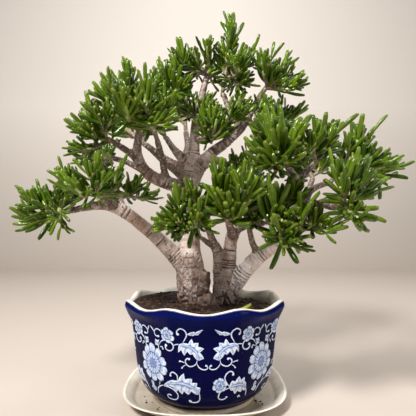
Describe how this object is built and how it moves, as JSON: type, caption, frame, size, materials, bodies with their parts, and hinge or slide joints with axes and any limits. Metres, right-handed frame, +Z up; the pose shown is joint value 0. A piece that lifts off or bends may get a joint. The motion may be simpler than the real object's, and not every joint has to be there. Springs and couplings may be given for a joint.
{
  "type": "jade bonsai in a glazed pot",
  "caption": "Finger-leaved jade grown as a spreading bonsai, rooted in soil in a lobed glazed pot that stands on a squared saucer.",
  "frame": {"origin": "on the pot's axis, on the surface under the saucer", "axes": "+Z up, -Y towards the front, where the tree is least deep, +X to the right as seen from the front"},
  "size_m": [0.4932, 0.3065, 0.482],
  "materials": {
    "saucer_glaze": "gloss",
    "pot_glaze": "gloss",
    "soil": "matte",
    "bark": "matte",
    "leaf": "satin"
  },
  "bodies": {
    "root": {"saucer": "saucer_glaze", "pot": "pot_glaze", "soil": "soil", "left_trunk": "bark", "right_trunk": "bark", "spray_left_far": "leaf", "spray_left_near": "leaf", "spray_left_back": "leaf", "spray_west_out": "leaf", "spray_west_low": "leaf", "spray_west_crown": "leaf", "spray_west_rise": "leaf", "spray_west_mid": "leaf", "spray_north_stub": "leaf", "spray_north_back": "leaf", "spray_top_left": "leaf", "spray_crown": "leaf", "spray_east_inner": "leaf", "spray_east_rise": "leaf", "spray_east_side": "leaf", "spray_nest": "leaf", "spray_middle_front": "leaf", "spray_middle_back": "leaf", "spray_middle_right": "leaf", "spray_thin_stem": "leaf", "spray_thin_side": "leaf", "spray_right_twig": "leaf", "spray_right_rise": "leaf", "spray_right_fork": "leaf", "spray_right_mid": "leaf", "spray_right_knob": "leaf", "spray_right_low": "leaf", "spray_right_front": "leaf", "spray_right_back": "leaf", "spray_back_west": "leaf", "spray_back_east": "leaf"}
  },
  "joints": []
}
